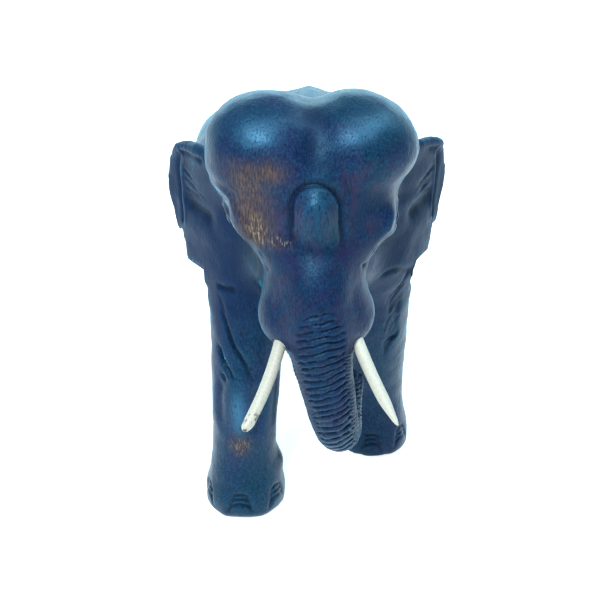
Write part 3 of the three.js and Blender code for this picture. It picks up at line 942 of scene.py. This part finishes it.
def smooth_peg(name, finish):
    """The CAD tusk, rounded and tapered. The right one ends blunt and the left one in a point."""
    bm = bmesh.new()
    bm.from_mesh(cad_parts[name].data)
    bmesh.ops.remove_doubles(bm, verts=bm.verts, dist=MERGE_METRES)
    bmesh.ops.recalc_face_normals(bm, faces=bm.faces)
    mesh = bpy.data.meshes.new(name + "_peg")
    bm.to_mesh(mesh)
    bm.free()
    peg = add_object(name + "_peg", mesh)
    rounder = peg.modifiers.new("round", "SUBSURF")
    rounder.levels = rounder.render_levels = 1
    made = finished_mesh(peg)
    made.polygons.foreach_set("use_smooth", [True] * len(made.polygons))
    work = Skin(made)
    mouth, line = SOCKETS[name]
    mouth, line = turn_head(mouth), turn_head(mouth + line) - turn_head(mouth)
    line /= np.linalg.norm(line)
    out = (work.points - mouth) @ line
    # the middle of the peg, slice by slice
    slices = np.linspace(out.min(), out.max(), SLICES + 1)
    which = np.clip(np.digitize(out, slices) - 1, 0, SLICES - 1)
    count = np.maximum(np.bincount(which, minlength=SLICES), 1)
    middle = np.stack([np.bincount(which, column, SLICES) / count for column in work.points.T], 1)
    middle = np.stack([np.interp(out, (slices[1:] + slices[:-1]) / 2, column) for column in middle.T], 1)
    arm = work.points - middle
    arm -= (arm @ line)[:, None] * line
    radius = np.maximum(np.linalg.norm(arm, axis=1), 1e-6)
    share = np.clip(out / out.max(), 0, 1)
    wanted = PEG_RADIUS - 0.55 * share
    if name == "tusk_right":
        end = np.clip((share - 0.9) / 0.1, 0, 1)
        wanted *= np.sqrt(np.clip(1 - end**2, 0, 1))
    else:
        end = np.clip((share - 0.66) / 0.34, 0, 1)
        point = np.clip((share - 0.96) / 0.04, 0, 1)
        wanted *= (1 - 0.8 * end**1.6) * np.sqrt(1 - point**2)
    fuller = np.clip(wanted / radius, LEAST_TURNED, MOST_TURNED)
    fuller = np.where((share > 0.02) & (share < 0.995), fuller, 1)
    work.points = work.points + arm * ((fuller - 1) * smooth_step(0.02, 0.12, share))[:, None]
    low, high = (np.array(corner) / MM - GUIDES for corner in cad_box)
    work.points = np.clip(work.points, low, high)
    work.write()
    # only the right one's paint is chipped
    tip = smooth_step(152, 140, work.points[:, 2])
    chipped = tip if name == "tusk_right" else 0 * tip
    give_float(made, "chipped", chipped)
    made.materials.clear()
    made.materials.append(finish)
    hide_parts(name)
    return peg


white = tusk_white()
for name, body in (("tusk_right", "right_tusk"), ("tusk_left", "left_tusk")):
    peg = smooth_peg(name, white)
    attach(peg, body)

# ---- Floor, light and camera ----

floor_mesh = bpy.data.meshes.new("floor")
half = 80.0
corners = [(-half, -half, 0), (half, -half, 0), (half, half, 0), (-half, half, 0)]
floor_mesh.from_pydata(corners, [], [(0, 1, 2, 3)])
floor = add_object("floor", floor_mesh)
pale = new_material("pale_matt_paper")
# lit a little from under, like a sheet on a light table
glow = {"Emission_Color": "#eff9fd", "Emission_Strength": 0.92}
paper = node(pale.node_tree, "ShaderNodeBsdfPrincipled", Base_Color="#f4f5f6", Roughness=0.9, **glow)
node(pale.node_tree, "ShaderNodeOutputMaterial", Surface=paper)
floor_mesh.materials.append(pale)

world = bpy.data.worlds.new("studio")
world.use_nodes = True
sky = world.node_tree
sky.nodes.clear()
dim = node(sky, "ShaderNodeBackground", Color=(0.8, 0.92, 1.0, 1), Strength=0.12)
# the room is dim, but the paper backdrop behind the table looks as pale as the table
backdrop = node(sky, "ShaderNodeBackground", Color=(0.95, 0.97, 1.0, 1), Strength=0.95)
seen = node(sky, "ShaderNodeLightPath", out="Is Camera Ray")
both = node(sky, "ShaderNodeMixShader", Fac=seen, _1=dim, _2=backdrop)
node(sky, "ShaderNodeOutputWorld", Surface=both)
bpy.context.scene.world = world


def soft_box(name, place, target, size, power, colour):
    """A rectangular lamp that faces its target. Places and sizes are in metres, power in watts."""
    light = bpy.data.lights.new(name, "AREA")
    light.shape = "RECTANGLE"
    light.size, light.size_y = size
    light.energy = power
    light.color = colour
    box = add_object(name, light)
    box.location = place
    box.rotation_euler = (Vector(target) - Vector(place)).to_track_quat("-Z", "Y").to_euler()


COOL = (0.82, 0.95, 1.0)
SKY_BLUE = (0.48, 0.86, 1.0)
soft_box("overhead", (0.1, -0.2, 1.35), (0, 0, 0.25), (1.5, 0.34), 15, COOL)
soft_box("window", (-0.3, -0.72, 1.05), (0, -0.12, 0.28), (0.32, 0.22), 17, COOL)
soft_box("sheet_behind", (0, 1.7, 0.75), (0, 0, 0.1), (3.0, 1.1), 38, SKY_BLUE)
soft_box("lamp_right", (0.75, 0.22, 0.98), (0, -0.1, 0.28), (0.5, 0.34), 4, SKY_BLUE)
for name, side in (("sheet_left", -1), ("sheet_right", 1)):
    soft_box(name, (side * 1.6, 0.9, 0.5), (0, 0, 0.1), (1.0, 0.9), 4, SKY_BLUE)

lens = bpy.data.cameras.new("camera")
lens.sensor_width, lens.lens = 36, 57.42
camera = add_object("camera", lens)
camera.location = (np.array([-8.1, -523.3, 459.5]) + GUIDES) * MM
# it looks down at 30 degrees below level
camera.rotation_euler = (math.radians(60), 0, 0)
bpy.context.scene.camera = camera
bpy.context.scene.view_settings.view_transform = "Standard"
